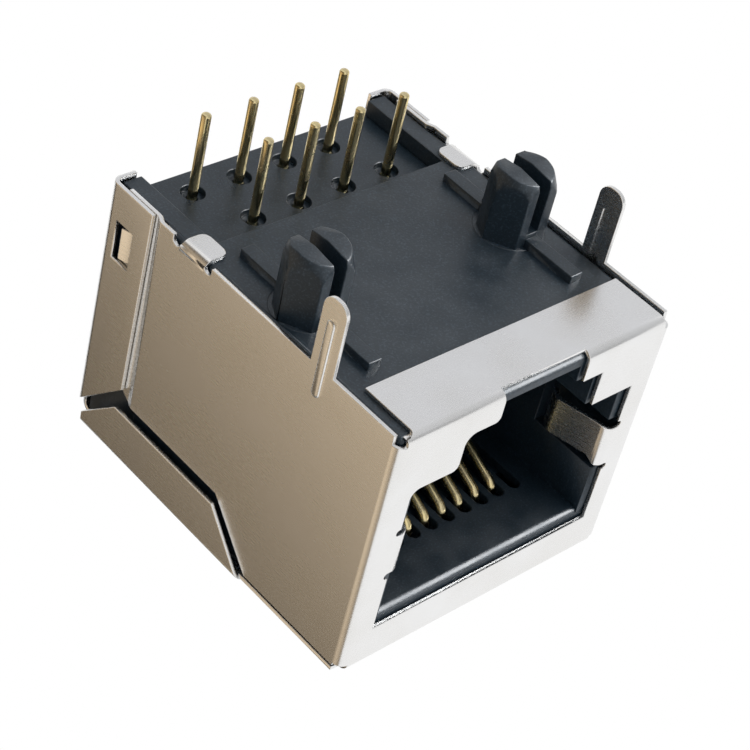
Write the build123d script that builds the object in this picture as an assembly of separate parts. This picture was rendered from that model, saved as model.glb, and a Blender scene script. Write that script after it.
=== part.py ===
from build123d import *
from math import atan, degrees
import os

# Shielded eight-way board jack, millimetres.
# Z = 0 is the board, +Z away from it, the mouth looks along -Y.
# X = Y = 0 is midway between the two locating posts.

# Folded shield
sheet = 0.2
shield_width = 15.6
shield_top = 13.45
front_reach = 8.03
board_gap = 0.2
bend_outer = 0.45
back_bend_outer = 0.5
flap_bend_outer = 0.3
seam_gap = 0.1
rear_margin = 1.41
back_lean = 0.25

# Strip that runs back under the front plate
strip_length = 3.11
strip_slot_width = 0.65
strip_slot_lead = 0.15

# Mouth of the front plate
mouth_half_width = 6.35
mouth_low = 3.45
mouth_high = 11.3
mouth_corner = 0.45
key_half_width = 3.88
key_low = 1.65
key_top_corner = 0.35
key_root_corner = 0.55
latch_half_width = 2.4
latch_shift = -0.3
latch_corner = 0.3

# Spring fingers folded in from the sides of the mouth
finger_root_low = 5.85
finger_root_width = 2.15
finger_low = 5.75
finger_width = 1.9
finger_neck = 0.6
finger_root_half = 5.93
finger_tip_half = 5.33
finger_length = 2.7
finger_curl_out = 0.42
finger_curl_length = 0.45
finger_bend = 0.4
finger_notch_width = 0.33
finger_notch_depth = 0.22

# Side panels, flaps of the top panel and wings of the back panel
side_panel_setback = 1.0
cut_floor = 10.45
cut_front = 0.87
cut_front_top = -1.72
cut_rear_setback = 2.95
cut_rear_end_setback = 2.55
cut_rear_drop = 0.3
flap_stand = 0.28
flap_floor = 10.82
flap_front = 0.72
flap_front_top = -1.65
flap_rear_setback = 2.68
flap_rear_top_setback = 0.55
flap_rear_height = 1.95
wing_stand = 0.04
wing_gap = 0.02
wing_reach = 2.87
joggle_lead = 0.15
joggle_run = 0.35
joggle_bend = 0.2
wing_front_top = 9.9
wing_rear_top = 12.55
back_cut_half = 6.6
back_cut_top = 1.7

# Window in each wing and the tongue of the side panel that springs into it
window_setback = 0.78
window_length = 1.1
window_low = 1.9
window_height = 1.95
tongue_root_setback = 1.8
tongue_end_setback = 1.1
tongue_rise = 0.22
tongue_width = 1.6
tongue_slit = 0.1
tongue_hold = 0.5
tongue_bend = 0.25

# Clips folded in under the housing
clip_front = 4.0
clip_width = 1.6
clip_end_half = 6.5
clip_corner = 0.4
clip_bend_outer = 0.5
clip_notch_width = 0.45
clip_notch_depth = 0.42

# Solder tabs with their pressed ribs
tab_y = -3.3
tab_width = 1.35
tab_reach = 3.25
tab_corner = 0.6
rib_width = 0.5
rib_height = 0.12
rib_slope = 30
rib_low = -2.3
rib_high = 1.6
rib_round = 0.12

# Moulded housing
play = 0.05
housing_corner = 0.25
cavity_half = 5.95
cavity_low = 3.55
cavity_top = 10.8
cavity_ceiling = 0.5
cavity_rear_wall = 0.6
step_inset = 0.12
latch_floor = 0.95
lead_in = 0.3
pocket_margin = 1.35
pocket_half = 6.4
finger_room = 0.3
finger_pocket_half = 6.6
finger_pocket_length = 3.6
plate_slot_setback = 2.28
rail_width = 0.7
rail_front = -4.11
rail_length = 8.0

# Locating posts
post_pitch = 11.43
post_radius = 1.6
post_reach = 2.9
post_slot_width = 0.64
post_slot_root = 0.2
post_lead_height = 0.95
post_lead_inset = 0.4
post_taper_height = 1.3
post_taper_depth = 0.45
post_roof_angle = 7

# Slots for the contacts in the ceiling of the plug cavity
contact_pitch = 1.016
slot_count = 10
slot_width = 0.62
slot_setback = 2.66

# Contact carrier
carrier_floor = 1.15
carrier_ledge_top = 1.6
carrier_ledge_inset = 0.12
plate_half = 5.6
plate_thickness = 1.0
plate_setback = 4.13
well_radius = 0.55
well_depth = 0.3

# Contact wires
wire_radius = 0.225
wire_play = 0.02
contact_count = 8
pin_pitch = 1.27
pin_front_row = 6.35
pin_row_gap = 2.54
pin_reach = 2.91
pin_tip_round = 0.12
run_rise = 0.45
run_bend = 0.6
jog_start = 4.4
jog_end = 1.2
jog_bend = 1.5
nose_setback = 3.31
nose_drop = 0.99
nose_bend = 0.55
free_end_y = 2.5
free_end_height = 7.2

# Faces and middle planes that follow from the sizes above
x_out = shield_width / 2
x_in = x_out - sheet
x_mid = x_out - sheet / 2
y_front = -front_reach
y_front_in = y_front + sheet
y_front_mid = y_front + sheet / 2
y_back = pin_front_row + pin_row_gap + rear_margin
y_back_in = y_back - sheet
y_back_mid = y_back - sheet / 2
z_low = board_gap
z_low_in = z_low + sheet
z_low_mid = z_low + sheet / 2
z_top_in = shield_top - sheet
z_top_mid = shield_top - sheet / 2
bend_mid = bend_outer - sheet / 2
wing_front = y_back - wing_reach
joggle_depth = sheet + wing_gap - wing_stand
joggle_end = wing_front - joggle_lead
joggle_front = joggle_end - joggle_run
pocket_front = pin_front_row - pocket_margin
plate_low = cavity_top + cavity_ceiling
plate_high = plate_low + plate_thickness
run_height = plate_low + run_rise
nose_height = run_height - nose_drop
far = 60


def block(x0, x1, y0, y1, z0, z1):
    """Box between two corners."""
    centre = ((x0 + x1) / 2, (y0 + y1) / 2, (z0 + z1) / 2)
    return Pos(*centre) * Box(x1 - x0, y1 - y0, z1 - z0)


def folded(plane, points, bend, start, width, thickness=sheet):
    """Strip along a bent middle line, widened along the plane's normal."""
    line = FilletPolyline(*points, radius=bend)
    return extrude(plane.offset(start) * trace(line, line_width=thickness), amount=width)


def side_prism(outline, x0, x1):
    """Outline in Y and Z made solid between two X values."""
    return extrude(Plane.YZ.offset(x0) * make_face(Polyline(*outline, close=True)), amount=x1 - x0)


def both_sides(shape):
    """Shape together with its mirror image across X = 0."""
    return shape + mirror(shape, Plane.YZ)


# Front plate with the two side panels folded back from it and joggled in under the wings
x_joggled = x_mid - joggle_depth
side_panel_end = y_back - side_panel_setback
girdle_line = [
    (-x_joggled, side_panel_end),
    (-x_joggled, joggle_end),
    (-x_mid, joggle_front),
    (-x_mid, y_front_mid),
    (x_mid, y_front_mid),
    (x_mid, joggle_front),
    (x_joggled, joggle_end),
    (x_joggled, side_panel_end),
]
girdle_bends = [joggle_bend, joggle_bend, bend_mid, bend_mid, joggle_bend, joggle_bend]
side_top = z_top_in - seam_gap
shield = folded(Plane.XY, girdle_line, girdle_bends, z_low, side_top - z_low)
bend_end = y_front + bend_outer
shield -= block(-far, far, -far, bend_end, -far, z_low + bend_outer)
shield -= block(-far, far, -far, bend_end, shield_top - bend_outer, far)
flap_opening = [
    (cut_front_top, far),
    (cut_front_top, side_top),
    (cut_front, cut_floor),
    (y_back - cut_rear_setback, cut_floor),
    (y_back - cut_rear_end_setback, cut_floor - cut_rear_drop),
    (far, cut_floor - cut_rear_drop),
    (far, far),
]
shield -= side_prism(flap_opening, -far, far)

# Strip, front plate, top panel and leaning back panel as one bent run
spine_half = x_out - bend_outer
back_slope = back_lean / (z_top_mid - z_low)
spine_line = [
    (y_front + strip_length, z_low_mid),
    (y_front_mid, z_low_mid),
    (y_front_mid, z_top_mid),
    (y_back_mid + back_lean, z_top_mid),
    (y_back_mid + back_slope * (back_cut_top - z_low), back_cut_top),
]
spine_bends = [bend_mid, bend_mid, back_bend_outer - sheet / 2]
shield += folded(Plane.YZ, spine_line, spine_bends, -spine_half, 2 * spine_half)
shield += block(-x_out, x_out, bend_end, flap_front_top + sheet, z_top_in, shield_top)

# Open slot between the strip and the +X side panel, with a round end
slot_edge = x_in - strip_slot_width
slot_centre = (slot_edge + x_in) / 2
slot_round = strip_slot_width / 2
slot_start = y_front + strip_slot_lead + slot_round
strip_slot = block(slot_edge, x_in, slot_start, y_front + strip_length + 1, 0, z_low_in)
strip_slot += Pos(slot_centre, slot_start, z_low_in / 2) * Cylinder(slot_round, z_low_in)
shield -= strip_slot

# Back panel with the two wings folded forward outside the side panels
wing_mid = x_out + wing_stand - sheet / 2
wing_line = [
    (-wing_mid, wing_front),
    (-wing_mid, y_back_mid),
    (wing_mid, y_back_mid),
    (wing_mid, wing_front),
]
wings = folded(Plane.XY, wing_line, bend_mid, z_low - back_lean, wing_rear_top - z_low + back_lean)
wing_slope = [
    (wing_front, wing_front_top),
    (y_back_in, wing_rear_top),
    (y_back_in, far),
    (wing_front, far),
]
wings -= side_prism(wing_slope, -far, far)
wings -= block(-back_cut_half, back_cut_half, 0, far, -far, back_cut_top)
window_rear = y_back - window_setback
window_high = window_low + window_height
wings -= block(-far, far, window_rear - window_length, window_rear, window_low, window_high)
back_hinge = Pos(0, y_back_mid, z_low)
wings = back_hinge * Rot(-degrees(atan(back_slope)), 0, 0) * back_hinge.inverse() * wings
wings -= block(-far, far, 0, far, -far, z_low)
shield += wings

# Flaps folded down from the top panel into the openings of the side panels
flap_mid = x_out + flap_stand - sheet / 2
flap_rear = y_back - flap_rear_setback
flap_rear_top = y_back - flap_rear_top_setback
flap_line = [
    (spine_half - 1, z_top_mid),
    (flap_mid, z_top_mid),
    (flap_mid, flap_floor - 1),
]
flap_length = flap_rear_top - flap_front_top
flap_bend = flap_bend_outer - sheet / 2
flap = folded(Plane.XZ, flap_line, flap_bend, -flap_rear_top, flap_length)
flap_outline = [
    (flap_front_top, shield_top),
    (flap_front, flap_floor),
    (flap_rear, flap_floor),
    (flap_rear_top, flap_floor + flap_rear_height),
    (flap_rear_top, shield_top),
]
flap &= side_prism(flap_outline, 0, far)
shield += both_sides(flap)

# Tongues lanced from the rear edge of the side panels
tongue_root = y_back - tongue_root_setback
tongue_low = window_low + (window_height - tongue_width) / 2
tongue_high = tongue_low + tongue_width
shield -= block(
    -x_out, x_out, tongue_root, side_panel_end, tongue_low - tongue_slit, tongue_high + tongue_slit
)
tongue_line = [
    (x_joggled, tongue_root - tongue_hold),
    (x_joggled, tongue_root),
    (x_joggled + tongue_rise, y_back - tongue_end_setback),
]
shield += both_sides(folded(Plane.XY, tongue_line, tongue_bend, tongue_low, tongue_width))

# Mouth: plug opening, key step and latch slot through the lower bend
latch_left = latch_shift - latch_half_width
latch_right = latch_shift + latch_half_width
mouth_points = [
    (-mouth_half_width, mouth_high),
    (-mouth_half_width, mouth_low),
    (-key_half_width, mouth_low),
    (-key_half_width, key_low),
    (latch_left, key_low),
    (latch_left, 0),
    (latch_right, 0),
    (latch_right, key_low),
    (key_half_width, key_low),
    (key_half_width, mouth_low),
    (mouth_half_width, mouth_low),
    (mouth_half_width, mouth_high),
]
square_corners = [0] * 6
round_corners = [latch_corner, key_root_corner, key_top_corner, mouth_corner]
mouth_line = FilletPolyline(*mouth_points, radius=square_corners + round_corners)
mouth_face = make_face(mouth_line + Line(mouth_line @ 1, mouth_line @ 0))
shield -= extrude(Plane.XZ.offset(-bend_end) * mouth_face, amount=2 * bend_outer)

# Spring fingers, wider at the root, with a round relief notch above and below
notch_half = mouth_half_width + finger_notch_depth
finger_root_high = finger_root_low + finger_root_width
for z in (
    finger_root_low - finger_notch_width / 2,
    finger_root_high + finger_notch_width / 2,
):
    notch_face = Pos(0, z) * SlotOverall(2 * notch_half, finger_notch_width)
    shield -= extrude(Plane.XZ.offset(-bend_end) * notch_face, amount=2 * bend_outer)
finger_line = [
    (notch_half, y_front_mid),
    (finger_root_half, y_front_mid),
    (finger_tip_half, y_front + finger_length),
    (finger_tip_half + finger_curl_out, y_front + finger_length + finger_curl_length),
]
finger = folded(Plane.XY, finger_line, finger_bend, finger_root_low - 1, finger_root_width + 2)
finger_high = finger_low + finger_width
finger_outline = [
    (y_front - 1, finger_root_low),
    (y_front + sheet, finger_root_low),
    (y_front + finger_neck, finger_low),
    (0, finger_low),
    (0, finger_high),
    (y_front + finger_neck, finger_high),
    (y_front + sheet, finger_root_high),
    (y_front - 1, finger_root_high),
]
finger &= side_prism(finger_outline, 0, far)
shield += both_sides(finger)

# Clips folded in under the housing, with round notches beside them
clip_rear = clip_front + clip_width
for y in (clip_front - clip_notch_width / 2, clip_rear + clip_notch_width / 2):
    depth = z_low + clip_notch_depth - clip_notch_width / 2
    notch = block(-x_out, x_out, y - clip_notch_width / 2, y + clip_notch_width / 2, 0, depth)
    notch += Pos(0, y, depth) * Rot(0, 90, 0) * Cylinder(clip_notch_width / 2, shield_width)
    shield -= notch
clip_line = [
    (clip_end_half, z_low_mid),
    (x_mid, z_low_mid),
    (x_mid, z_low + 2 * clip_bend_outer),
]
clip_bend = clip_bend_outer - sheet / 2
shield -= block(-x_out, x_out, clip_front, clip_rear, z_low, z_low + clip_bend_outer)
clip = folded(Plane.XZ, clip_line, clip_bend, -clip_rear, clip_width)
clip = fillet(clip.edges().filter_by(Axis.Z).group_by(Axis.X)[0], clip_corner)
shield += both_sides(clip)

# Solder tabs, with a rib pressed outward down each tab and panel
tab_face = Rectangle(tab_width, tab_reach + bend_outer, align=(Align.CENTER, Align.MAX))
tab_face = fillet(tab_face.vertices().group_by(Axis.Y)[0], tab_corner)
tab = extrude(Plane.YZ.offset(x_in) * Pos(tab_y, bend_outer) * tab_face, amount=sheet)
rib_line = Plane.YZ.offset(x_out) * Pos(tab_y, (rib_low + rib_high) / 2)
rib_face = SlotOverall(rib_high - rib_low, rib_width, rotation=90)
rib = extrude(rib_line * rib_face, amount=rib_height, taper=rib_slope)
tab += fillet(rib.faces().sort_by(Axis.X)[-1].edges(), rib_round)
shield += both_sides(tab)
rib_groove = rib_line * Pos(0, 0, -sheet) * SlotOverall(rib_high - rib_low, rib_width, rotation=90)
shield -= both_sides(extrude(rib_groove, amount=rib_height, taper=rib_slope))

# Housing body, with the plug cavity stepped like the mouth
house_half = x_in - play
house_front = y_front_in + play
house_rear = y_back_in - play
house_top = z_top_in - play
housing = block(-house_half, house_half, house_front, house_rear, z_low_in, house_top)
rear_low_edge = housing.edges().filter_by(Axis.X).group_by(Axis.Y)[-1].sort_by(Axis.Z)[0]
housing = fillet(housing.edges() - [rear_low_edge], housing_corner)
for side in (-1, 1):
    relief = Pos(side * (house_half - joggle_depth + far / 2), joggle_front - play + far / 2)
    housing -= relief * Box(far, far, far)
cavity_rear = pocket_front - cavity_rear_wall
cavity = block(-cavity_half, cavity_half, -far, cavity_rear, cavity_low, cavity_top)
key_half = key_half_width - step_inset
key_floor = key_low + step_inset
cavity += block(-key_half, key_half, -far, cavity_rear, key_floor, cavity_low)
channel_left = latch_left + step_inset
channel_right = latch_right - step_inset
cavity += block(channel_left, channel_right, -far, cavity_rear, latch_floor, key_floor)
housing -= cavity
front_edges = housing.faces().sort_by(Axis.Y)[0].edges().filter_by(Axis.X)
lip_edge = front_edges.sort_by(lambda edge: abs(edge.center().Z - cavity_top))[0]
housing = fillet(lip_edge, lead_in)

# Room for the carrier behind the cavity and above its ceiling
plate_slot_low = plate_low - play
plate_slot_high = plate_high + play
plate_slot_front = y_front + plate_slot_setback
housing -= block(-pocket_half, pocket_half, pocket_front, far, -far, plate_slot_high)
housing -= block(
    -plate_half - play, plate_half + play, plate_slot_front, far, plate_slot_low, plate_slot_high
)

# Recesses in the side walls behind the spring fingers
recess_low = finger_low - finger_room
recess_high = finger_root_high + finger_room
recess_end = house_front + finger_pocket_length
housing -= block(
    -finger_pocket_half, finger_pocket_half, -far, recess_end, recess_low, recess_high
)

# Ceiling slots for the contacts
for i in range(slot_count):
    x = (i - (slot_count - 1) / 2) * contact_pitch
    start = y_front + slot_setback + slot_width / 2
    slot = block(x - slot_width / 2, x + slot_width / 2, start, cavity_rear, cavity_top, plate_low)
    slot_mid = (cavity_top + plate_low) / 2
    slot += Pos(x, start, slot_mid) * Cylinder(slot_width / 2, plate_low - cavity_top)
    housing -= slot

# Rails that stand on the board, and the split locating posts
rail_inner = (post_pitch - rail_width) / 2
rail_outer = rail_inner + rail_width
rail_end = rail_front + rail_length
housing += both_sides(block(rail_inner, rail_outer, rail_front, rail_end, 0, z_low_in))
post = Pos(0, 0, (z_low_in - post_reach) / 2) * Cylinder(post_radius, z_low_in + post_reach)
tip_edge = post.edges().sort_by(Axis.Z)[0]
post = chamfer(tip_edge, post_lead_inset, post_lead_height, reference=post.faces().sort_by(Axis.Z)[0])
taper_top = -post_reach + post_taper_height
taper_lean = degrees(atan(post_taper_depth / post_taper_height))
cut = Box(far, post_reach, post_reach, align=(Align.CENTER, Align.MIN, Align.MAX))
for turn in (0, 180):
    shave = Pos(0, post_radius, taper_top) * Rot(-taper_lean, 0, 0) * cut
    roof = Pos(0, 0, -post_reach) * Rot(post_roof_angle, 0, 0) * cut
    post -= Rot(0, 0, turn) * (shave + roof)
half_slot = post_slot_width / 2
post -= block(-half_slot, half_slot, -far, far, -far, -post_slot_root)
housing += both_sides(Pos(post_pitch / 2, 0, 0) * post)

# Carrier: a block in the rear pocket with a plate reaching forward
carrier_half = pocket_half - play
carrier = block(
    -carrier_half, carrier_half, pocket_front + play, house_rear, carrier_floor, plate_high
)
ledge_rear = y_back - carrier_ledge_inset
carrier += block(
    -carrier_half, carrier_half, pin_front_row, ledge_rear, carrier_floor, carrier_ledge_top
)
plate_front = y_front + plate_setback
carrier += block(-plate_half, plate_half, plate_front, house_rear, plate_low, plate_high)


contacts = []
channel = wire_radius + wire_play
nose_y = y_front + nose_setback
for i in range(contact_count):
    place = (contact_count - 1) / 2 - i
    pin_x = place * pin_pitch
    slot_x = place * contact_pitch
    pin_y = pin_front_row + (pin_row_gap if i % 2 == 0 else 0)
    wire_points = [
        (pin_x, pin_y, -pin_reach),
        (pin_x, pin_y, run_height),
        (pin_x, jog_start, run_height),
        (slot_x, jog_end, run_height),
        (slot_x, nose_y, run_height),
        (slot_x, nose_y, nose_height),
        (slot_x, free_end_y, free_end_height),
    ]
    wire_bends = [run_bend, jog_bend, jog_bend, nose_bend, nose_bend]
    path = FilletPolyline(*wire_points, radius=wire_bends)
    wire = sweep(Plane(path @ 0, z_dir=path % 0) * Circle(wire_radius), path=path)
    wire = fillet(wire.faces().sort_by(Axis.Z)[0].edges(), pin_tip_round)
    contacts.append(wire)

    # Well and upright hole for the pin, room for its bend, and the tunnel forward
    carrier -= Pos(pin_x, pin_y, carrier_floor) * Cylinder(well_radius, 2 * well_depth)
    carrier -= Pos(pin_x, pin_y, run_height / 2) * Cylinder(channel, run_height)
    x0, x1 = pin_x - channel, pin_x + channel
    bend_low = run_height - run_bend
    carrier -= block(x0, x1, pin_y - run_bend, pin_y + channel, bend_low, run_height + channel)
    tunnel = [(pin_x, pin_y), (pin_x, jog_start), (slot_x, jog_end), (slot_x, plate_front - 1)]
    tunnel_low = run_height - channel
    carrier -= folded(Plane.XY, tunnel, jog_bend, tunnel_low, 2 * channel, 2 * channel)

os.makedirs("parts", exist_ok=True)
shield.label = "shield"
housing.label = "housing"
carrier.label = "contact_carrier"
export_step(shield, "parts/shield.step")
export_step(housing, "parts/housing.step")
export_step(carrier, "parts/contact_carrier.step")
for i, wire in enumerate(contacts):
    wire.label = f"contact_{i + 1}"
    export_step(wire, f"parts/contact_{i + 1}.step")
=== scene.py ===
"""Looks of a shielded eight-way board jack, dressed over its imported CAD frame.

Lengths are metres in the frame of the CAD model: Z = 0 is the circuit board, +Z points away from
it and the mouth looks along -Y.
"""

import logging
import math
from dataclasses import dataclass, field
from enum import Enum

import bmesh
import bpy
from mathutils import Euler, Matrix, Vector
from mathutils.bvhtree import BVHTree


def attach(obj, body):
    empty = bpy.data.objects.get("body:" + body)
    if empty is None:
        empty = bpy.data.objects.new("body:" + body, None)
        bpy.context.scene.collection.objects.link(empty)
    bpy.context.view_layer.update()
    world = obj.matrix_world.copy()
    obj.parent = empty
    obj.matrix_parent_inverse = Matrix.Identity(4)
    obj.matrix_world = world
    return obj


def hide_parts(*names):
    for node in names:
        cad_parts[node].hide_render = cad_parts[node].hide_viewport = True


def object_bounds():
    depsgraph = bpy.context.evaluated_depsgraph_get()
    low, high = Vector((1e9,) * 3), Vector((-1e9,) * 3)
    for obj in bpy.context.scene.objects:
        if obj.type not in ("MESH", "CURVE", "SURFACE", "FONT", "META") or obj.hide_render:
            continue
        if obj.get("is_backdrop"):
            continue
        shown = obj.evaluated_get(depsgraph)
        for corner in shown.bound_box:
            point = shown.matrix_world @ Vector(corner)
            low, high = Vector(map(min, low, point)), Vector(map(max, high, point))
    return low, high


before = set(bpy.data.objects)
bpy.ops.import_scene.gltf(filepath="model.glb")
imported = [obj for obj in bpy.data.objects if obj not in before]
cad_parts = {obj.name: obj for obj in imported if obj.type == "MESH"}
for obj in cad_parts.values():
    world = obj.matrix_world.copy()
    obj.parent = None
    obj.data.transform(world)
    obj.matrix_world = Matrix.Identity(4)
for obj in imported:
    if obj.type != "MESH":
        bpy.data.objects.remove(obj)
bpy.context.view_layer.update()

MM = 0.001
LOG = logging.getLogger("board_jack")
NOISE_MIDDLE = (0.3, 0.7)  # most of a noise lies between these

Triple = tuple[float, float, float]

Cut = tuple[Triple, Triple, float]
"""A block to pare off: its centre, its size and its turn about Z in degrees."""


class Slot(Enum):
    """Material slots of the record."""

    SHIELD = "shield_metal"
    PLASTIC = "black_plastic"
    CONTACT = "contact_gold"


def linear(colour: str) -> tuple[float, float, float, float]:
    """Turn an sRGB colour into the linear values that Blender works in.

    Args:
        colour: hex digits as in "#AABBCC".

    Returns:
        Linear red, green, blue and an alpha of 1.
    """
    parts = [int(colour[i : i + 2], 16) / 255 for i in (1, 3, 5)]
    red, green, blue = (
        p / 12.92 if p <= 0.04045 else ((p + 0.055) / 1.055) ** 2.4 for p in parts
    )
    return red, green, blue, 1.0


def add_node(
    tree: bpy.types.NodeTree,
    kind: str,
    settings: dict[str, object] | None = None,
    inputs: dict[str | int, object] | None = None,
) -> bpy.types.Node:
    """Add a node with its settings and links.

    Args:
        tree: node tree that gets the node.
        kind: Blender's name of the node type.
        settings: properties of the node.
        inputs: socket name or number to a value, or to the output that feeds it.

    Returns:
        The new node.
    """
    node = tree.nodes.new(kind)
    for name, value in (settings or {}).items():
        setattr(node, name, value)
    for key, value in (inputs or {}).items():
        if isinstance(value, bpy.types.NodeSocket):
            tree.links.new(value, node.inputs[key])
        else:
            node.inputs[key].default_value = value
    return node


def cleared_tree(owner: bpy.types.Material | bpy.types.World) -> bpy.types.NodeTree:
    """Give a material or world an empty node tree.

    Args:
        owner: the material or world.

    Returns:
        Its node tree.
    """
    owner.use_nodes = True
    owner.node_tree.nodes.clear()
    return owner.node_tree


@dataclass(frozen=True)
class Finish:
    """A material together with how its surface was made."""

    name: str

    def material(self) -> bpy.types.Material:
        """Return the finish's material, made on first use.

        Returns:
            The material.
        """
        made = bpy.data.materials.get(self.name)
        if made is None:
            made = bpy.data.materials.new(self.name)
            tree = cleared_tree(made)
            shader = self.shade(tree)
            add_node(tree, "ShaderNodeOutputMaterial", inputs={"Surface": shader.outputs[0]})
        return made

    def shade(self, tree: bpy.types.NodeTree) -> bpy.types.Node:
        """Build the finish's nodes and return the shader."""
        raise NotImplementedError

    @staticmethod
    def noise(
        tree: bpy.types.NodeTree,
        size: float,
        detail: float = 2.0,
        stretch: Triple = (1.0, 1.0, 1.0),
    ) -> bpy.types.NodeSocket:
        """Lay a noise on the piece's own coordinates.

        Args:
            tree: node tree of the material.
            size: width of one grain in metres.
            detail: number of finer layers.
            stretch: how many times longer than wide a grain is along X, Y and Z.

        Returns:
            The noise's value, from 0 to 1.
        """
        coordinates = add_node(tree, "ShaderNodeTexCoord").outputs["Object"]
        scale = [1 / (size * s) for s in stretch]
        placed = add_node(
            tree, "ShaderNodeMapping", inputs={"Vector": coordinates, "Scale": scale}
        )
        return add_node(
            tree,
            "ShaderNodeTexNoise",
            inputs={"Vector": placed.outputs[0], "Scale": 1.0, "Detail": detail},
        ).outputs["Fac"]

    @staticmethod
    def blend(
        tree: bpy.types.NodeTree,
        value: bpy.types.NodeSocket,
        used: tuple[float, float],
        colours: tuple[str, str],
    ) -> bpy.types.NodeSocket:
        """Blend two colours by a noise.

        Args:
            tree: node tree of the material.
            value: the noise.
            used: range of the noise over which one colour turns into the other.
            colours: sRGB colours below and above that range.

        Returns:
            The colour.
        """
        share = add_node(
            tree,
            "ShaderNodeMapRange",
            inputs={
                "Value": value,
                "From Min": used[0],
                "From Max": used[1],
                "To Min": 0.0,
                "To Max": 1.0,
            },
        ).outputs["Result"]
        below, above = colours
        return add_node(
            tree,
            "ShaderNodeMix",
            {"data_type": "RGBA"},
            {0: share, 6: linear(below), 7: linear(above)},
        ).outputs[2]


@dataclass(frozen=True)
class SatinNickel(Finish):
    """Nickel plating on rolled steel strip: a pale grey satin that mirrors its surroundings softly.

    Rolled grain is about 0.01 mm wide. It is drawn 0.04 mm wide, because finer grain doesn't show.
    """

    colour: str = "#EDEDED"
    shade_colour: str = "#E6E5E3"
    roughness: tuple[float, float] = (0.26, 0.28)
    grain_width: float = 0.04 * MM
    grain_length: float = 12.0
    smudge: float = 3.5 * MM
    wear: tuple[float, float] = (0.1, 0.4)

    def shade(self, tree: bpy.types.NodeTree) -> bpy.types.Node:
        """Build rolled grain, which varies the gloss, and faint smudges.

        Args:
            tree: node tree of the material.

        Returns:
            The shader.
        """
        long = self.grain_length
        wall_grain = self.noise(tree, self.grain_width, 1.0, (long, long, 1.0))
        floor_grain = self.noise(tree, self.grain_width, 1.0, (long, 1.0, long))
        normal = add_node(tree, "ShaderNodeNewGeometry").outputs["True Normal"]
        normal_z = add_node(tree, "ShaderNodeSeparateXYZ", inputs={0: normal}).outputs["Z"]
        flat = add_node(
            tree, "ShaderNodeMath", {"operation": "ABSOLUTE"}, {0: normal_z}
        ).outputs[0]
        grain = add_node(
            tree,
            "ShaderNodeMix",
            {"data_type": "FLOAT"},
            {0: flat, 2: wall_grain, 3: floor_grain},
        ).outputs[0]
        smudge = self.noise(tree, self.smudge, 3.0)
        tone = self.blend(tree, smudge, NOISE_MIDDLE, (self.colour, self.shade_colour))
        worn = add_node(
            tree, "ShaderNodeMath", {"operation": "MULTIPLY"}, {0: smudge, 1: grain}
        ).outputs[0]
        rough = add_node(
            tree,
            "ShaderNodeMapRange",
            inputs={
                "Value": worn,
                "From Min": self.wear[0],
                "From Max": self.wear[1],
                "To Min": self.roughness[0],
                "To Max": self.roughness[1],
            },
        ).outputs["Result"]
        return add_node(
            tree,
            "ShaderNodeBsdfPrincipled",
            inputs={"Base Color": tone, "Metallic": 1.0, "Roughness": rough},
        )


@dataclass(frozen=True)
class MouldedPlastic(Finish):
    """Glass-filled PBT from a spark-eroded mould: near black, satin, with a fine mottle.

    The mottle is the ends of glass fibres 0.01 mm thick. Its flecks are drawn 0.09 mm wide and the
    mould's grain 0.12 mm, because finer ones don't show.
    """

    colour: str = "#1A2731"
    fleck_colour: str = "#303E49"
    roughness: tuple[float, float] = (0.32, 0.46)
    grain: float = 0.12 * MM
    grain_depth: float = 0.006 * MM
    fleck: float = 0.09 * MM
    fleck_share: tuple[float, float] = (0.52, 0.72)
    flow: float = 1.6 * MM
    ior: float = 1.47

    def shade(self, tree: bpy.types.NodeTree) -> bpy.types.Node:
        """Build mould grain, fibre flecks and the slow change of gloss along the flow.

        Args:
            tree: node tree of the material.

        Returns:
            The shader.
        """
        grain = self.noise(tree, self.grain, 3.0)
        fleck = self.noise(tree, self.fleck, 2.0)
        flow = self.noise(tree, self.flow, 2.0)
        tone = self.blend(tree, fleck, self.fleck_share, (self.colour, self.fleck_colour))
        rough = add_node(
            tree,
            "ShaderNodeMapRange",
            inputs={
                "Value": flow,
                "From Min": NOISE_MIDDLE[0],
                "From Max": NOISE_MIDDLE[1],
                "To Min": self.roughness[0],
                "To Max": self.roughness[1],
            },
        ).outputs["Result"]
        bumps = add_node(
            tree,
            "ShaderNodeBump",
            inputs={"Strength": 1.0, "Distance": self.grain_depth, "Height": grain},
        ).outputs[0]
        return add_node(
            tree,
            "ShaderNodeBsdfPrincipled",
            inputs={"Base Color": tone, "Roughness": rough, "IOR": self.ior, "Normal": bumps},
        )


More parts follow.
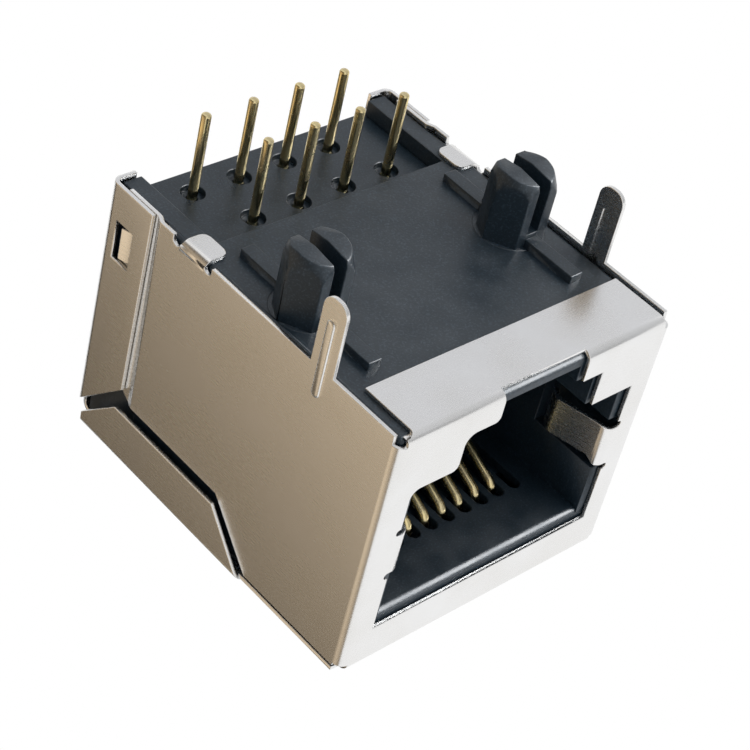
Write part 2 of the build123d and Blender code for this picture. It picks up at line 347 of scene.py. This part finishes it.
@dataclass(frozen=True)
class GoldWire(Finish):
    """Gold flash over nickel on drawn wire: pale yellow and bright, duller where it was handled.

    Drawing lines are some 0.005 mm wide. They are made 0.02 mm wide, because finer ones don't
    show.
    """

    colour: str = "#E2D09C"
    worn_colour: str = "#CDBF98"
    roughness: tuple[float, float] = (0.14, 0.3)
    draw_width: float = 0.02 * MM
    draw_length: float = 40.0
    draw_depth: float = 0.001 * MM
    patch: float = 0.6 * MM

    def shade(self, tree: bpy.types.NodeTree) -> bpy.types.Node:
        """Build drawing lines along the upright pins and patches of duller flash.

        Args:
            tree: node tree of the material.

        Returns:
            The shader.
        """
        lines = self.noise(tree, self.draw_width, 1.0, (1.0, 1.0, self.draw_length))
        patch = self.noise(tree, self.patch, 3.0)
        tone = self.blend(tree, patch, NOISE_MIDDLE, (self.colour, self.worn_colour))
        rough = add_node(
            tree,
            "ShaderNodeMapRange",
            inputs={
                "Value": patch,
                "From Min": NOISE_MIDDLE[0],
                "From Max": NOISE_MIDDLE[1],
                "To Min": self.roughness[0],
                "To Max": self.roughness[1],
            },
        ).outputs["Result"]
        bumps = add_node(
            tree,
            "ShaderNodeBump",
            inputs={"Strength": 1.0, "Distance": self.draw_depth, "Height": lines},
        ).outputs[0]
        return add_node(
            tree,
            "ShaderNodeBsdfPrincipled",
            inputs={"Base Color": tone, "Metallic": 1.0, "Roughness": rough, "Normal": bumps},
        )


NICKEL = SatinNickel("nickel_plated_strip_satin")
HOUSING_PLASTIC = MouldedPlastic("black_pbt_moulded_satin")
CARRIER_PLASTIC = MouldedPlastic(
    "black_pbt_moulded_fine", roughness=(0.26, 0.4), grain_depth=0.005 * MM
)
GOLD = GoldWire("gold_flashed_wire_bright")


@dataclass
class SoftEdged:
    """A CAD node shown with the small radius that shearing or moulding leaves on its edges.

    Edges that turn by more than edge_angle are rounded. Triangles within flat_angle of each other
    are joined, and sharp_inside keeps the shading apart across inner corners.
    """

    node: str
    name: str
    finish: Finish
    slot: Slot
    edge_radius: float
    edge_angle: float = 38.0
    edge_steps: int = 2
    sharp_inside: bool = True
    weld: float = 0.015 * MM
    pared_weld: float = 0.003 * MM
    flat_angle: float = 0.6
    face_weight: int = 60
    cuts: list[Cut] = field(default_factory=list)

    def joined_mesh(self) -> bpy.types.Mesh:
        """Copy the node's triangles, weld them, join the ones in one plane and round the edges.

        Returns:
            The finished mesh.
        """
        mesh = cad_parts[self.node].data.copy()
        mesh.name = self.name
        shell = bmesh.new()
        shell.from_mesh(mesh)
        bmesh.ops.remove_doubles(shell, verts=shell.verts, dist=self.weld)
        bmesh.ops.dissolve_degenerate(shell, dist=self.weld, edges=shell.edges)
        if self.cuts:
            shell.to_mesh(mesh)
            shell.free()
            cut = self.pared(mesh)
            bpy.data.meshes.remove(mesh)
            mesh = cut
            shell = bmesh.new()
            shell.from_mesh(mesh)
            bmesh.ops.remove_doubles(shell, verts=shell.verts, dist=self.pared_weld)
        bmesh.ops.dissolve_limit(
            shell, angle_limit=math.radians(self.flat_angle), verts=shell.verts, edges=shell.edges
        )
        self.round_edges(shell)
        shell.to_mesh(mesh)
        shell.free()
        return mesh

    def pared(self, mesh: bpy.types.Mesh) -> bpy.types.Mesh:
        """Pare the cut blocks off a closed mesh.

        Args:
            mesh: mesh of the whole piece.

        Returns:
            A new mesh of what is left.
        """
        blank = bpy.data.objects.new(f"{self.name}_blank", mesh)
        blocks = bmesh.new()
        for centre, size, turn in self.cuts:
            made = bmesh.ops.create_cube(blocks, size=1.0)["verts"]
            turned = Matrix.Rotation(math.radians(turn), 3, "Z")
            bmesh.ops.scale(blocks, vec=size, verts=made)
            bmesh.ops.rotate(blocks, matrix=turned, verts=made)
            bmesh.ops.translate(blocks, vec=centre, verts=made)
        cutter_mesh = bpy.data.meshes.new(f"{self.name}_cutter")
        blocks.to_mesh(cutter_mesh)
        blocks.free()
        cutter = bpy.data.objects.new(f"{self.name}_cutter", cutter_mesh)
        for thing in (blank, cutter):
            bpy.context.scene.collection.objects.link(thing)
        paring = blank.modifiers.new("paring", "BOOLEAN")
        paring.operation = "DIFFERENCE"
        paring.solver = "EXACT"
        paring.use_self = True
        paring.object = cutter
        bpy.context.view_layer.update()
        depsgraph = bpy.context.evaluated_depsgraph_get()
        left = bpy.data.meshes.new_from_object(blank.evaluated_get(depsgraph))
        left.name = self.name
        for thing in (blank, cutter):
            bpy.data.objects.remove(thing)
        return left

    @staticmethod
    def turn_at(edge: bmesh.types.BMEdge) -> float:
        """Return how far the surface turns at an edge in radians, below 0 in an inner corner."""
        return edge.calc_face_angle_signed(0.0) if len(edge.link_faces) == 2 else 0.0

    def round_edges(self, shell: bmesh.types.BMesh) -> None:
        """Round the outer edges and mark the inner ones.

        A point that a crowded corner throws off the surface is drawn back onto it.

        Args:
            shell: closed mesh of the piece.
        """
        limit = math.radians(self.edge_angle)
        surface = BVHTree.FromBMesh(shell)
        bmesh.ops.bevel(
            shell,
            geom=[edge for edge in shell.edges if self.turn_at(edge) > limit],
            offset=self.edge_radius,
            offset_type="OFFSET",
            segments=self.edge_steps,
            profile=0.5,
            affect="EDGES",
            clamp_overlap=False,
            loop_slide=False,
            miter_outer="ARC",
        )
        for vert in shell.verts:
            place, _, _, away = surface.find_nearest(vert.co)
            if away > self.edge_radius:
                vert.co = place
        shell.normal_update()
        for edge in shell.edges:
            edge.smooth = not (self.sharp_inside and self.turn_at(edge) < -limit)

    def build(self) -> bpy.types.Object:
        """Round the edges, dress the piece and let it stand for its node.

        Returns:
            The finished piece.
        """
        piece = bpy.data.objects.new(self.name, self.joined_mesh())
        bpy.context.scene.collection.objects.link(piece)
        shading = piece.modifiers.new("shading", "WEIGHTED_NORMAL")
        shading.weight = self.face_weight
        shading.keep_sharp = self.sharp_inside
        piece.data.materials.clear()
        piece.data.materials.append(self.finish.material())
        piece.data.shade_smooth()
        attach(piece, "root")
        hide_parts(self.node)
        return piece


@dataclass
class PostFlats:
    """Flat faces of the two locating posts: six-sided, and cut square in front and behind.

    Blocks of this depth are pared off. foot_play and overlap are hairs that keep the faces of
    neighbouring blocks out of one plane.
    """

    pitch: float = 11.43 * MM
    reach: float = 3.0 * MM
    corner_radius: float = 1.6 * MM
    face_turns: tuple[int, ...] = (30, 150, 210, 330)
    depth: float = 0.6 * MM
    rail_half: float = 0.35 * MM
    foot: float = 0.395 * MM
    front: float = -1.3 * MM
    rear: float = 0.97 * MM
    foot_play: float = 0.001 * MM
    overlap: float = 0.005 * MM

    def blocks(self) -> list[Cut]:
        """List the blocks to pare off, clear of the rails under the posts.

        Returns:
            The blocks of both posts.
        """
        listed: list[Cut] = []
        half_face = math.radians(30)
        middle = self.corner_radius * math.cos(half_face) + self.depth / 2
        face_size = (self.depth, self.corner_radius, self.foot + self.reach)
        end_size = (2 * self.corner_radius, self.depth, self.reach - self.foot_play)
        beside = self.corner_radius - self.rail_half
        beside_size = (beside, self.depth, self.foot + 2 * self.overlap)
        for post in (-self.pitch / 2, self.pitch / 2):
            for turn in self.face_turns:
                x = post + middle * math.cos(math.radians(turn))
                y = middle * math.sin(math.radians(turn))
                listed.append(((x, y, (self.foot - self.reach) / 2), face_size, turn))
            for y in (self.front - self.depth / 2, self.rear + self.depth / 2):
                listed.append(((post, y, -self.reach / 2), end_size, 0))
                for side in (-1, 1):
                    x = post + side * (self.rail_half + self.corner_radius) / 2
                    listed.append(((x, y, self.foot / 2 - self.overlap), beside_size, 0))
        return listed


@dataclass
class ContactRow:
    """Eight formed wires, each from its pin in the board to its free end in the plug cavity."""

    count: int = 8
    wire_radius: float = 0.225 * MM
    pin_pitch: float = 1.27 * MM
    contact_pitch: float = 1.016 * MM
    front_row: float = 6.35 * MM
    row_gap: float = 2.54 * MM
    pin_reach: float = 2.91 * MM
    run_height: float = 11.75 * MM
    jog_start: float = 4.4 * MM
    jog_end: float = 1.2 * MM
    nose_y: float = -4.72 * MM
    nose_height: float = 10.76 * MM
    free_end_y: float = 2.5 * MM
    free_end_height: float = 7.2 * MM
    run_bend: float = 0.6 * MM
    jog_bend: float = 1.5 * MM
    nose_bend: float = 0.55 * MM
    tip_round: float = 0.14 * MM
    tip_steps: int = 5
    sides: int = 20
    bend_steps: int = 9

    def route(self, place: float, pin_y: float) -> list[tuple[Vector, float]]:
        """List the corners of one wire with the bend radius at each.

        Args:
            place: the wire's place in the row, counted from the middle.
            pin_y: row that the pin stands in.

        Returns:
            Points from the pin's tip to the free end, each with its bend radius.
        """
        pin_x = place * self.pin_pitch
        slot_x = place * self.contact_pitch
        return [
            (Vector((pin_x, pin_y, -self.pin_reach)), 0.0),
            (Vector((pin_x, pin_y, self.run_height)), self.run_bend),
            (Vector((pin_x, self.jog_start, self.run_height)), self.jog_bend),
            (Vector((slot_x, self.jog_end, self.run_height)), self.jog_bend),
            (Vector((slot_x, self.nose_y, self.run_height)), self.nose_bend),
            (Vector((slot_x, self.nose_y, self.nose_height)), self.nose_bend),
            (Vector((slot_x, self.free_end_y, self.free_end_height)), 0.0),
        ]

    def wire_line(self, name: str, route: list[tuple[Vector, float]]) -> bpy.types.Mesh:
        """Make the wire's middle line, with close points at its ends for their rounding.

        Args:
            name: name of the mesh.
            route: corners with their bend radii.

        Returns:
            A mesh of points and edges, with each point's bend and width as attributes.
        """
        start, end = route[0][0], route[-1][0]
        inward = [(route[1][0] - start).normalized(), (route[-2][0] - end).normalized()]
        points: list[tuple[Vector, float, float]] = []
        steps = [i / self.tip_steps for i in range(self.tip_steps + 1)]
        for t in steps:
            points.append((start + inward[0] * self.tip_round * t, 0.0, self.tip_width(t)))
        points += [(corner, bend, 1.0) for corner, bend in route[1:-1]]
        for t in reversed(steps):
            points.append((end + inward[1] * self.tip_round * t, 0.0, self.tip_width(t)))
        mesh = bpy.data.meshes.new(name)
        edges = [(i, i + 1) for i in range(len(points) - 1)]
        mesh.from_pydata([place for place, _, _ in points], edges, [])
        for attribute, column in (("bend", 1), ("width", 2)):
            values = mesh.attributes.new(attribute, "FLOAT", "POINT").data
            values.foreach_set("value", [point[column] for point in points])
        return mesh

    def tip_width(self, t: float) -> float:
        """Share of the wire's radius at t of the way along the rounded tip."""
        flat = 1 - self.tip_round / self.wire_radius
        return flat + (1 - flat) * math.sqrt(1 - (1 - t) ** 2)

    def forming_tree(self) -> bpy.types.NodeTree:
        """Build the geometry nodes that bend a middle line and draw the wire along it.

        Returns:
            The node tree.
        """
        tree = bpy.data.node_groups.new("formed_wire", "GeometryNodeTree")
        face = tree.interface
        for name, kind in (
            ("Line", "NodeSocketGeometry"),
            ("Wire Radius", "NodeSocketFloat"),
            ("Sides", "NodeSocketInt"),
            ("Bend Steps", "NodeSocketInt"),
            ("Finish", "NodeSocketMaterial"),
        ):
            face.new_socket(name, in_out="INPUT", socket_type=kind)
        face.new_socket("Wire", in_out="OUTPUT", socket_type="NodeSocketGeometry")
        given = add_node(tree, "NodeGroupInput").outputs
        bend, width = (
            add_node(
                tree, "GeometryNodeInputNamedAttribute", {"data_type": "FLOAT"}, {"Name": name}
            ).outputs[0]
            for name in ("bend", "width")
        )
        line = add_node(tree, "GeometryNodeMeshToCurve", inputs={"Mesh": given["Line"]})
        bent = add_node(
            tree,
            "GeometryNodeFilletCurve",
            {"mode": "POLY"},
            {"Curve": line.outputs[0], "Count": given["Bend Steps"], "Radius": bend},
        )
        outline = add_node(
            tree,
            "GeometryNodeCurvePrimitiveCircle",
            inputs={"Resolution": given["Sides"], "Radius": given["Wire Radius"]},
        )
        drawn = add_node(
            tree,
            "GeometryNodeCurveToMesh",
            inputs={
                "Curve": bent.outputs[0],
                "Profile Curve": outline.outputs["Curve"],
                "Scale": width,
                "Fill Caps": True,
            },
        )
        smooth = add_node(
            tree, "GeometryNodeSetShadeSmooth", inputs={"Geometry": drawn.outputs[0]}
        )
        real = add_node(
            tree, "GeometryNodeRealizeInstances", inputs={"Geometry": smooth.outputs[0]}
        )
        dressed = add_node(
            tree,
            "GeometryNodeSetMaterial",
            inputs={"Geometry": real.outputs[0], "Material": given["Finish"]},
        )
        add_node(tree, "NodeGroupOutput", inputs={0: dressed.outputs[0]})
        return tree

    def formed(self, name: str, line: bpy.types.Mesh, tree: bpy.types.NodeTree) -> bpy.types.Mesh:
        """Draw one wire along its middle line.

        Args:
            name: name of the wire.
            line: its middle line.
            tree: geometry nodes that draw it.

        Returns:
            The wire's plain mesh.
        """
        maker = bpy.data.objects.new(line.name, line)
        bpy.context.scene.collection.objects.link(maker)
        forming = maker.modifiers.new("forming", "NODES")
        forming.node_group = tree
        values = {
            "Wire Radius": self.wire_radius,
            "Sides": self.sides,
            "Bend Steps": self.bend_steps,
            "Finish": GOLD.material(),
        }
        for item in tree.interface.items_tree:
            if item.in_out == "INPUT" and item.name in values:
                forming[item.identifier] = values[item.name]
        bpy.context.view_layer.update()
        depsgraph = bpy.context.evaluated_depsgraph_get()
        mesh = bpy.data.meshes.new_from_object(maker.evaluated_get(depsgraph))
        bpy.data.objects.remove(maker)
        mesh.name = name
        return mesh

    def build(self) -> list[bpy.types.Object]:
        """Form the eight wires, each standing for its node.

        Returns:
            The finished wires.
        """
        tree = self.forming_tree()
        wires = []
        for i in range(self.count):
            place = (self.count - 1) / 2 - i
            pin_y = self.front_row + (self.row_gap if i % 2 == 0 else 0.0)
            name = f"contact_wire_{i + 1}"
            line = self.wire_line(f"{name}_line", self.route(place, pin_y))
            wire = bpy.data.objects.new(name, self.formed(name, line, tree))
            bpy.context.scene.collection.objects.link(wire)
            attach(wire, "root")
            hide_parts(f"contact_{i + 1}")
            wires.append(wire)
        return wires


@dataclass(frozen=True)
class Lamp:
    """A square soft lamp that faces the object and doesn't show in its metal.

    Its direction is the way from the object to it, and its level is the brightness that it gives a
    white card that faces it.
    """

    name: str
    direction: Triple
    level: float
    size: float = 0.25
    distance: float = 0.3
    aimed_at: Triple = (0.0, 0.0, 6 * MM)

    def hang(self) -> bpy.types.Object:
        """Hang the lamp in the scene.

        Returns:
            The lamp.
        """
        data = bpy.data.lights.new(self.name, "AREA")
        data.shape = "SQUARE"
        data.size = self.size
        data.energy = self.level * math.pi**2 * self.distance**2
        lamp = bpy.data.objects.new(self.name, data)
        lamp.visible_glossy = False
        bpy.context.scene.collection.objects.link(lamp)
        out = Vector(self.direction).normalized()
        lamp.location = Vector(self.aimed_at) + out * self.distance
        lamp.rotation_euler = out.to_track_quat("Z", "Y").to_euler()
        return lamp


@dataclass(frozen=True)
class GlossLamp(Lamp):
    """A lamp that puts a shine on the rounded edges of chosen pieces, and on nothing else."""

    def hang_for(self, pieces: list[bpy.types.Object]) -> None:
        """Hang the lamp and link it to the pieces that it lights.

        Args:
            pieces: the pieces that get the shine.
        """
        lamp = self.hang()
        lamp.visible_glossy = True
        lamp.visible_diffuse = False
        lit = bpy.data.collections.new(f"lit_by_{self.name}")
        for piece in pieces:
            lit.objects.link(piece)
        lamp.light_linking.receiver_collection = lit


@dataclass(frozen=True)
class Card:
    """A lit card that shows in reflections alone, by its corners in metres."""

    name: str
    finish: str
    colour: str
    corners: tuple[Triple, ...]

    def level(self, tree: bpy.types.NodeTree) -> bpy.types.NodeSocket | float:
        """Brightness of the card: even, as white as the surroundings."""
        return 1.0

    def stand(self) -> None:
        """Put the card in the scene."""
        material = bpy.data.materials.new(self.finish)
        tree = cleared_tree(material)
        light = add_node(
            tree,
            "ShaderNodeEmission",
            inputs={"Color": linear(self.colour), "Strength": self.level(tree)},
        )
        add_node(tree, "ShaderNodeOutputMaterial", inputs={"Surface": light.outputs[0]})
        mesh = bpy.data.meshes.new(self.name)
        mesh.from_pydata(self.corners, [], [(0, 1, 2, 3)])
        card = bpy.data.objects.new(self.name, mesh)
        bpy.context.scene.collection.objects.link(card)
        card.data.materials.append(material)
        card.visible_camera = False
        card.visible_diffuse = False
        card.visible_shadow = False
        card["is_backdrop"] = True


@dataclass(frozen=True)
class FadingCard(Card):
    """A card that grows darker away from the object, along -Y."""

    span: tuple[float, float] = (-1.6, 0.0)
    levels: tuple[float, float] = (0.2, 0.75)

    def level(self, tree: bpy.types.NodeTree) -> bpy.types.NodeSocket:
        """Build the fade along Y.

        Args:
            tree: node tree of the card's material.

        Returns:
            The brightness.
        """
        place = add_node(tree, "ShaderNodeTexCoord").outputs["Object"]
        parts = add_node(tree, "ShaderNodeSeparateXYZ", inputs={0: place}).outputs
        return add_node(
            tree,
            "ShaderNodeMapRange",
            inputs={
                "Value": parts["Y"],
                "From Min": self.span[0],
                "From Max": self.span[1],
                "To Min": self.levels[0],
                "To Max": self.levels[1],
            },
        ).outputs["Result"]


@dataclass(frozen=True)
class SideCard(Card):
    """The warm card beside the object, brightest toward the mouth and the board.

    Its brightness is exp(start + along_y * y + along_z * z), with 1 as its limit, and it is darker
    again at its foot, low on Z, and at its end in front of the mouth.
    """

    start: float = 6.03
    along_y: float = -12.0
    along_z: float = -24.0
    foot_span: tuple[float, float] = (-0.25, 0.1)
    foot_level: float = 0.15
    end_span: tuple[float, float] = (-0.12, 0.1)
    end_level: float = 0.3

    def level(self, tree: bpy.types.NodeTree) -> bpy.types.NodeSocket:
        """Build the fade along Y and Z.

        Args:
            tree: node tree of the card's material.

        Returns:
            The brightness.
        """
        place = add_node(tree, "ShaderNodeTexCoord").outputs["Object"]
        parts = add_node(tree, "ShaderNodeSeparateXYZ", inputs={0: place}).outputs
        power: bpy.types.NodeSocket | float = self.start
        for axis, slope in (("Y", self.along_y), ("Z", self.along_z)):
            power = add_node(
                tree,
                "ShaderNodeMath",
                {"operation": "MULTIPLY_ADD"},
                {0: parts[axis], 1: slope, 2: power},
            ).outputs[0]
        bright = add_node(tree, "ShaderNodeMath", {"operation": "EXPONENT"}, {0: power}).outputs[0]
        level = add_node(
            tree, "ShaderNodeMath", {"operation": "MINIMUM"}, {0: bright, 1: 1.0}
        ).outputs[0]
        for axis, span, lowest in (
            ("Z", self.foot_span, self.foot_level),
            ("Y", self.end_span, self.end_level),
        ):
            share = add_node(
                tree,
                "ShaderNodeMapRange",
                inputs={
                    "Value": parts[axis],
                    "From Min": span[0],
                    "From Max": span[1],
                    "To Min": lowest,
                    "To Max": 1.0,
                },
            ).outputs["Result"]
            level = add_node(
                tree, "ShaderNodeMath", {"operation": "MULTIPLY"}, {0: level, 1: share}
            ).outputs[0]
        return level


@dataclass
class Studio:
    """Pale floor, white surroundings, soft lamps, cards for the metal to mirror, and the camera."""

    camera_at: Triple = (0.056374, -0.045418, -0.053516)
    camera_turn: Triple = (-130.6008, 11.2229, -138.5789)
    camera_reach: tuple[float, float] = (1 * MM, 10.0)
    lens: float = 104.96
    sensor: float = 36.0
    floor_size: float = 0.6
    floor_colour: str = "#E9E9E7"
    ambient: float = 0.45
    lamps: tuple[Lamp, ...] = (
        Lamp("under_lamp", direction=(-0.25, -0.35, -0.9), level=0.34),
        Lamp("front_lamp", direction=(-0.35, -0.9, -0.1), level=0.38),
        Lamp("top_lamp", direction=(0.3, -0.4, 1.0), level=0.5, size=0.3),
    )
    gloss_lamp: GlossLamp = GlossLamp(
        "gloss_lamp", direction=(-0.6, -0.5, -0.62), level=4.2, size=0.26
    )
    cards: tuple[Card, ...] = (
        SideCard(
            "side_card",
            "warm_card_fading",
            "#FFE7C6",
            ((0.2, -0.17, -0.5), (0.2, 1.2, -0.5), (0.2, 1.2, 2.0), (0.2, -0.17, 2.0)),
        ),
        Card(
            "under_card",
            "grey_card_even",
            "#DDDEE1",
            ((-0.7, 0.02, -0.3), (-0.02, 0.02, -0.3), (-0.02, 0.6, -0.3), (-0.7, 0.6, -0.3)),
        ),
        FadingCard(
            "front_under_card",
            "grey_card_fading",
            "#F4F5F7",
            ((-1.6, -1.6, -0.3), (-0.02, -1.6, -0.3), (-0.02, 0.02, -0.3), (-1.6, 0.02, -0.3)),
        ),
    )

    def build(self, lowest: float, mouldings: list[bpy.types.Object]) -> None:
        """Set up the studio.

        Args:
            lowest: height of the lowest point of the object, where the floor lies.
            mouldings: the plastic pieces, which the gloss lamp picks out.
        """
        self.add_camera()
        self.add_world()
        self.add_floor(lowest)
        for lamp in self.lamps:
            lamp.hang()
        self.gloss_lamp.hang_for(mouldings)
        for card in self.cards:
            card.stand()

    def add_camera(self) -> None:
        """Place the camera at the photograph's viewing angle."""
        data = bpy.data.cameras.new("camera")
        data.sensor_width = self.sensor
        data.lens = self.lens
        data.clip_start, data.clip_end = self.camera_reach
        camera = bpy.data.objects.new("camera", data)
        camera.location = self.camera_at
        camera.rotation_euler = Euler([math.radians(turn) for turn in self.camera_turn])
        bpy.context.scene.collection.objects.link(camera)
        bpy.context.scene.camera = camera

    def add_world(self) -> None:
        """Make the surroundings: white to the camera and in reflections, softer as light."""
        world = bpy.data.worlds.new("studio")
        bpy.context.scene.world = world
        world.cycles.sampling_method = "NONE"
        tree = cleared_tree(world)
        path = add_node(tree, "ShaderNodeLightPath").outputs
        shown = path["Is Camera Ray"]
        for ray in ("Is Glossy Ray", "Is Transmission Ray"):
            shown = add_node(
                tree, "ShaderNodeMath", {"operation": "MAXIMUM"}, {0: shown, 1: path[ray]}
            ).outputs[0]
        strength = add_node(
            tree,
            "ShaderNodeMapRange",
            inputs={"Value": shown, "To Min": self.ambient, "To Max": 1.0},
        ).outputs[0]
        light = add_node(
            tree, "ShaderNodeBackground", inputs={"Color": (1, 1, 1, 1), "Strength": strength}
        )
        add_node(tree, "ShaderNodeOutputWorld", inputs={"Surface": light.outputs[0]})

    def add_floor(self, height: float) -> None:
        """Lay a pale floor that only the camera sees, and only from above.

        Args:
            height: height that the floor lies at.
        """
        material = bpy.data.materials.new("pale_floor_paint_matt")
        tree = cleared_tree(material)
        path = add_node(tree, "ShaderNodeLightPath").outputs["Is Camera Ray"]
        back = add_node(tree, "ShaderNodeNewGeometry").outputs["Backfacing"]
        front = add_node(
            tree, "ShaderNodeMath", {"operation": "SUBTRACT"}, {0: path, 1: back}
        ).outputs[0]
        paint = add_node(
            tree, "ShaderNodeBsdfDiffuse", inputs={"Color": linear(self.floor_colour)}
        )
        clear = add_node(tree, "ShaderNodeBsdfTransparent")
        mixed = add_node(
            tree,
            "ShaderNodeMixShader",
            inputs={0: front, 1: clear.outputs[0], 2: paint.outputs[0]},
        )
        add_node(tree, "ShaderNodeOutputMaterial", inputs={"Surface": mixed.outputs[0]})
        half = self.floor_size / 2
        corners = [(-half, -half, 0), (half, -half, 0), (half, half, 0), (-half, half, 0)]
        mesh = bpy.data.meshes.new("floor")
        mesh.from_pydata(corners, [], [(0, 1, 2, 3)])
        floor = bpy.data.objects.new("floor", mesh)
        bpy.context.scene.collection.objects.link(floor)
        floor.location.z = height
        floor.data.materials.append(material)
        floor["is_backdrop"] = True


def main() -> None:
    """Build the jack piece by piece, then the studio round it."""
    logging.basicConfig(level=logging.INFO, format="%(message)s")
    bpy.context.scene.view_settings.view_transform = "Standard"
    shield = SoftEdged(
        "shield", "shield_sheet", NICKEL, Slot.SHIELD, edge_radius=0.035 * MM, sharp_inside=False
    )
    housing = SoftEdged(
        "housing",
        "housing_moulding",
        HOUSING_PLASTIC,
        Slot.PLASTIC,
        edge_radius=0.05 * MM,
        cuts=PostFlats().blocks(),
    )
    carrier = SoftEdged(
        "contact_carrier",
        "carrier_moulding",
        CARRIER_PLASTIC,
        Slot.PLASTIC,
        edge_radius=0.04 * MM,
    )
    folded = shield.build()
    mouldings = [housing.build(), carrier.build()]
    wires = ContactRow().build()
    for piece in (folded, *mouldings, *wires):
        LOG.info("%s: %d faces", piece.name, len(piece.data.polygons))
    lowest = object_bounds()[0].z
    Studio().build(lowest, mouldings)


if __name__ == "__main__":
    main()
